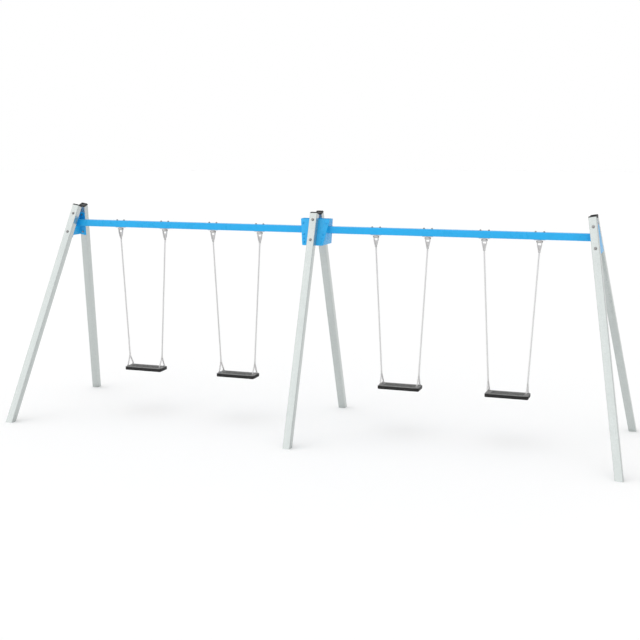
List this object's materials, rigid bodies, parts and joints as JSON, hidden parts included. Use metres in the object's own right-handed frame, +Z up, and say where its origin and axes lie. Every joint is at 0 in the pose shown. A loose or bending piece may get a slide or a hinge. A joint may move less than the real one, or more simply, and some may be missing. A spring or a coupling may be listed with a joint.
{
  "type": "two-bay swing set",
  "caption": "Two-bay playground swing set with splayed square-tube A-frames, square top beams and flat rubber seats hung on chains.",
  "frame": {"origin": "centre of the footprint, on the ground, under the centre frame", "axes": "+Z up, X along the top beams, Y the way the seats swing; the set is the same seen from +Y and from -Y"},
  "size_m": [6.8076, 2.0036, 2.4361],
  "materials": {
    "galvanised_steel": "hot-dip galvanised, satin, with a soft mottled spangle",
    "blue_powder_coat": "powder coat, semi-gloss with fine orange peel",
    "black_plastic": "moulded, fine texture",
    "bearing_steel": "zinc plated, satin",
    "chain_steel": "galvanised short-link chain, satin",
    "black_rubber": "moulded, matte, with a ribbed top"
  },
  "bodies": {
    "frame": {"leg_left_front": "galvanised_steel", "leg_left_back": "galvanised_steel", "leg_centre_front": "galvanised_steel", "leg_centre_back": "galvanised_steel", "leg_right_front": "galvanised_steel", "leg_right_back": "galvanised_steel", "cap_left_front": "black_plastic", "cap_left_back": "black_plastic", "cap_centre_front": "black_plastic", "cap_centre_back": "black_plastic", "cap_right_front": "black_plastic", "cap_right_back": "black_plastic", "beam_left": "blue_powder_coat", "beam_right": "blue_powder_coat", "end_bracket_left": "blue_powder_coat", "end_bracket_right": "blue_powder_coat", "centre_plate_front": "blue_powder_coat", "centre_plate_back": "blue_powder_coat", "saddle_left": "blue_powder_coat", "saddle_right": "blue_powder_coat", "hanger_1a": "bearing_steel", "hanger_1b": "bearing_steel", "hanger_2a": "bearing_steel", "hanger_2b": "bearing_steel", "hanger_3a": "bearing_steel", "hanger_3b": "bearing_steel", "hanger_4a": "bearing_steel", "hanger_4b": "bearing_steel"},
    "swing_1": {"stirrup_1a": "bearing_steel", "stirrup_1b": "bearing_steel", "chain_1a": "chain_steel", "chain_1b": "chain_steel"},
    "swing_2": {"stirrup_2a": "bearing_steel", "stirrup_2b": "bearing_steel", "chain_2a": "chain_steel", "chain_2b": "chain_steel"},
    "swing_3": {"stirrup_3a": "bearing_steel", "stirrup_3b": "bearing_steel", "chain_3a": "chain_steel", "chain_3b": "chain_steel"},
    "swing_4": {"stirrup_4a": "bearing_steel", "stirrup_4b": "bearing_steel", "chain_4a": "chain_steel", "chain_4b": "chain_steel"},
    "tilt_1": {"fork_1a": "chain_steel", "fork_1b": "chain_steel", "seat_1": "black_rubber"},
    "tilt_2": {"fork_2a": "chain_steel", "fork_2b": "chain_steel", "seat_2": "black_rubber"},
    "tilt_3": {"fork_3a": "chain_steel", "fork_3b": "chain_steel", "seat_3": "black_rubber"},
    "tilt_4": {"fork_4a": "chain_steel", "fork_4b": "chain_steel", "seat_4": "black_rubber"}
  },
  "joints": [
    {"name": "swing_1_to_and_fro", "type": "hinge", "parent": "frame", "child": "swing_1", "pos_m": [-2.1265, 0, 2.15], "axis": [1, 0, 0], "range_deg": [-60, 60]},
    {"name": "swing_2_to_and_fro", "type": "hinge", "parent": "frame", "child": "swing_2", "pos_m": [-0.956, 0, 2.15], "axis": [1, 0, 0], "range_deg": [-60, 60]},
    {"name": "swing_3_to_and_fro", "type": "hinge", "parent": "frame", "child": "swing_3", "pos_m": [0.956, 0, 2.15], "axis": [1, 0, 0], "range_deg": [-60, 60]},
    {"name": "swing_4_to_and_fro", "type": "hinge", "parent": "frame", "child": "swing_4", "pos_m": [2.1265, 0, 2.15], "axis": [1, 0, 0], "range_deg": [-60, 60]},
    {"name": "seat_1_tilt", "type": "hinge", "parent": "swing_1", "child": "tilt_1", "pos_m": [-2.1265, 0, 0.665], "axis": [1, 0, 0], "range_deg": [-35, 35]},
    {"name": "seat_2_tilt", "type": "hinge", "parent": "swing_2", "child": "tilt_2", "pos_m": [-0.956, 0, 0.665], "axis": [1, 0, 0], "range_deg": [-35, 35]},
    {"name": "seat_3_tilt", "type": "hinge", "parent": "swing_3", "child": "tilt_3", "pos_m": [0.956, 0, 0.665], "axis": [1, 0, 0], "range_deg": [-35, 35]},
    {"name": "seat_4_tilt", "type": "hinge", "parent": "swing_4", "child": "tilt_4", "pos_m": [2.1265, 0, 0.665], "axis": [1, 0, 0], "range_deg": [-35, 35]}
  ]
}
